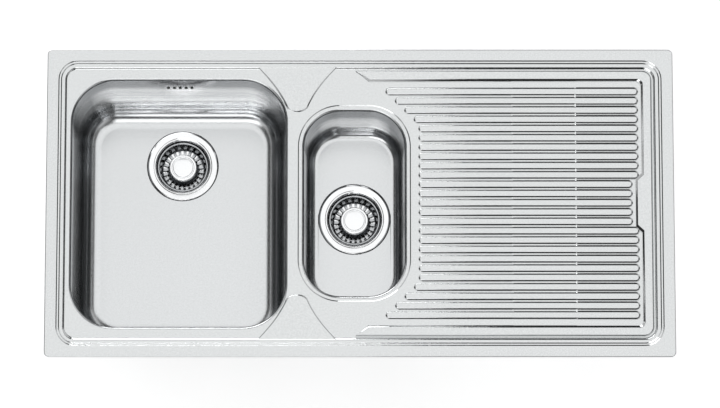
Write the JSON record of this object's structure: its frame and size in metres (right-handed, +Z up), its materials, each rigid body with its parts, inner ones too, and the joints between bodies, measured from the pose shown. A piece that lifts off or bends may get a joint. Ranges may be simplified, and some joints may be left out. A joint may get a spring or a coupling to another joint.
{
  "type": "kitchen sink",
  "caption": "Inset stainless steel kitchen sink with a main bowl, a half bowl and a ribbed drainer, basket strainer wastes, an overflow and worktop clamps.",
  "frame": {"origin": "middle of the worktop cut-out, in the plane of the worktop that the rim seal rests on", "axes": "+X along the sink from the main bowl to the drainer, +Y to its back, +Z up"},
  "size_m": [1, 0.5, 0.2802],
  "materials": {
    "stainless_deck": "satin stainless steel, fine grain",
    "stainless_bowl": "satin stainless steel, polished bowl",
    "polished_steel": "polished stainless steel",
    "zinc_steel": "bright zinc plated steel",
    "black_rubber": "black rubber",
    "foam_seal": "closed cell foam",
    "white_plastic": "moulded polypropylene",
    "grey_hose": "flexible plastic hose",
    "damping_pad": "bitumen damping pad"
  },
  "bodies": {
    "sink_body": {"sink_deck": "stainless_deck", "main_bowl": "stainless_bowl", "half_bowl": "stainless_bowl", "rim_seal": "foam_seal", "back_rail": "zinc_steel", "front_rail": "zinc_steel", "left_rail": "zinc_steel", "right_rail": "zinc_steel", "main_sound_pad": "damping_pad", "half_sound_pad": "damping_pad", "overflow_gasket": "black_rubber", "overflow_box": "white_plastic", "overflow_nuts": "zinc_steel", "overflow_hose": "grey_hose", "overflow_union_top": "white_plastic", "overflow_union_bottom": "white_plastic", "main_strainer_cup": "polished_steel", "main_flange_gasket": "black_rubber", "main_waste_screw": "polished_steel", "main_body_gasket": "black_rubber", "main_waste_body": "white_plastic", "half_strainer_cup": "polished_steel", "half_flange_gasket": "black_rubber", "half_waste_screw": "polished_steel", "half_body_gasket": "black_rubber", "half_waste_body": "white_plastic"},
    "main_basket_unit": {"main_basket": "polished_steel", "main_basket_knob": "polished_steel", "main_basket_stem": "polished_steel", "main_stopper_seal": "black_rubber"},
    "half_basket_unit": {"half_basket": "polished_steel", "half_basket_knob": "polished_steel", "half_basket_stem": "polished_steel", "half_stopper_seal": "black_rubber"},
    "clamp_1_carrier": {"clamp_1_bush": "zinc_steel"},
    "clamp_1_spindle": {"clamp_1_screw": "zinc_steel"},
    "clamp_1_jaw": {"clamp_1_claw": "zinc_steel"},
    "clamp_2_carrier": {"clamp_2_bush": "zinc_steel"},
    "clamp_2_spindle": {"clamp_2_screw": "zinc_steel"},
    "clamp_2_jaw": {"clamp_2_claw": "zinc_steel"},
    "clamp_3_carrier": {"clamp_3_bush": "zinc_steel"},
    "clamp_3_spindle": {"clamp_3_screw": "zinc_steel"},
    "clamp_3_jaw": {"clamp_3_claw": "zinc_steel"},
    "clamp_4_carrier": {"clamp_4_bush": "zinc_steel"},
    "clamp_4_spindle": {"clamp_4_screw": "zinc_steel"},
    "clamp_4_jaw": {"clamp_4_claw": "zinc_steel"},
    "clamp_5_carrier": {"clamp_5_bush": "zinc_steel"},
    "clamp_5_spindle": {"clamp_5_screw": "zinc_steel"},
    "clamp_5_jaw": {"clamp_5_claw": "zinc_steel"},
    "clamp_6_carrier": {"clamp_6_bush": "zinc_steel"},
    "clamp_6_spindle": {"clamp_6_screw": "zinc_steel"},
    "clamp_6_jaw": {"clamp_6_claw": "zinc_steel"}
  },
  "joints": [
    {"name": "main_basket_lift", "type": "slide", "parent": "sink_body", "child": "main_basket_unit", "axis": [0, 0, 1], "range_m": [0, 0.24]},
    {"name": "half_basket_lift", "type": "slide", "parent": "sink_body", "child": "half_basket_unit", "axis": [0, 0, 1], "range_m": [0, 0.185]},
    {"name": "clamp_1_lift", "type": "slide", "parent": "sink_body", "child": "clamp_1_carrier", "axis": [0, 0, 1], "range_m": [0, 0.014]},
    {"name": "clamp_1_screw_turn", "type": "hinge", "parent": "clamp_1_carrier", "child": "clamp_1_spindle", "pos_m": [-0.396, 0.226, -0.0215], "axis": [0, 0, 1], "range_deg": [0, 5040]},
    {"name": "clamp_1_claw_swing", "type": "hinge", "parent": "clamp_1_carrier", "child": "clamp_1_jaw", "pos_m": [-0.396, 0.226, -0.0515], "axis": [0, 0, 1], "range_deg": [0, 90]},
    {"name": "clamp_2_lift", "type": "slide", "parent": "sink_body", "child": "clamp_2_carrier", "axis": [0, 0, 1], "range_m": [0, 0.014]},
    {"name": "clamp_2_screw_turn", "type": "hinge", "parent": "clamp_2_carrier", "child": "clamp_2_spindle", "pos_m": [-0.0176, 0.226, -0.0215], "axis": [0, 0, 1], "range_deg": [0, 5040]},
    {"name": "clamp_2_claw_swing", "type": "hinge", "parent": "clamp_2_carrier", "child": "clamp_2_jaw", "pos_m": [-0.0176, 0.226, -0.0515], "axis": [0, 0, 1], "range_deg": [0, 90]},
    {"name": "clamp_3_lift", "type": "slide", "parent": "sink_body", "child": "clamp_3_carrier", "axis": [0, 0, 1], "range_m": [0, 0.014]},
    {"name": "clamp_3_screw_turn", "type": "hinge", "parent": "clamp_3_carrier", "child": "clamp_3_spindle", "pos_m": [0.3344, 0.226, -0.0215], "axis": [0, 0, 1], "range_deg": [0, 5040]},
    {"name": "clamp_3_claw_swing", "type": "hinge", "parent": "clamp_3_carrier", "child": "clamp_3_jaw", "pos_m": [0.3344, 0.226, -0.0515], "axis": [0, 0, 1], "range_deg": [0, 90]},
    {"name": "clamp_4_lift", "type": "slide", "parent": "sink_body", "child": "clamp_4_carrier", "axis": [0, 0, 1], "range_m": [0, 0.014]},
    {"name": "clamp_4_screw_turn", "type": "hinge", "parent": "clamp_4_carrier", "child": "clamp_4_spindle", "pos_m": [-0.396, -0.226, -0.0215], "axis": [0, 0, 1], "range_deg": [0, 5040]},
    {"name": "clamp_4_claw_swing", "type": "hinge", "parent": "clamp_4_carrier", "child": "clamp_4_jaw", "pos_m": [-0.396, -0.226, -0.0515], "axis": [0, 0, 1], "range_deg": [0, 90]},
    {"name": "clamp_5_lift", "type": "slide", "parent": "sink_body", "child": "clamp_5_carrier", "axis": [0, 0, 1], "range_m": [0, 0.014]},
    {"name": "clamp_5_screw_turn", "type": "hinge", "parent": "clamp_5_carrier", "child": "clamp_5_spindle", "pos_m": [-0.0176, -0.226, -0.0215], "axis": [0, 0, 1], "range_deg": [0, 5040]},
    {"name": "clamp_5_claw_swing", "type": "hinge", "parent": "clamp_5_carrier", "child": "clamp_5_jaw", "pos_m": [-0.0176, -0.226, -0.0515], "axis": [0, 0, 1], "range_deg": [0, 90]},
    {"name": "clamp_6_lift", "type": "slide", "parent": "sink_body", "child": "clamp_6_carrier", "axis": [0, 0, 1], "range_m": [0, 0.014]},
    {"name": "clamp_6_screw_turn", "type": "hinge", "parent": "clamp_6_carrier", "child": "clamp_6_spindle", "pos_m": [0.3344, -0.226, -0.0215], "axis": [0, 0, 1], "range_deg": [0, 5040]},
    {"name": "clamp_6_claw_swing", "type": "hinge", "parent": "clamp_6_carrier", "child": "clamp_6_jaw", "pos_m": [0.3344, -0.226, -0.0515], "axis": [0, 0, 1], "range_deg": [0, 90]}
  ],
  "couplings": [
    {"joint": "clamp_1_screw_turn", "follows": "clamp_1_lift", "rad_per_m": 6283.2},
    {"joint": "clamp_2_screw_turn", "follows": "clamp_2_lift", "rad_per_m": 6283.2},
    {"joint": "clamp_3_screw_turn", "follows": "clamp_3_lift", "rad_per_m": 6283.2},
    {"joint": "clamp_4_screw_turn", "follows": "clamp_4_lift", "rad_per_m": 6283.2},
    {"joint": "clamp_5_screw_turn", "follows": "clamp_5_lift", "rad_per_m": 6283.2},
    {"joint": "clamp_6_screw_turn", "follows": "clamp_6_lift", "rad_per_m": 6283.2}
  ]
}
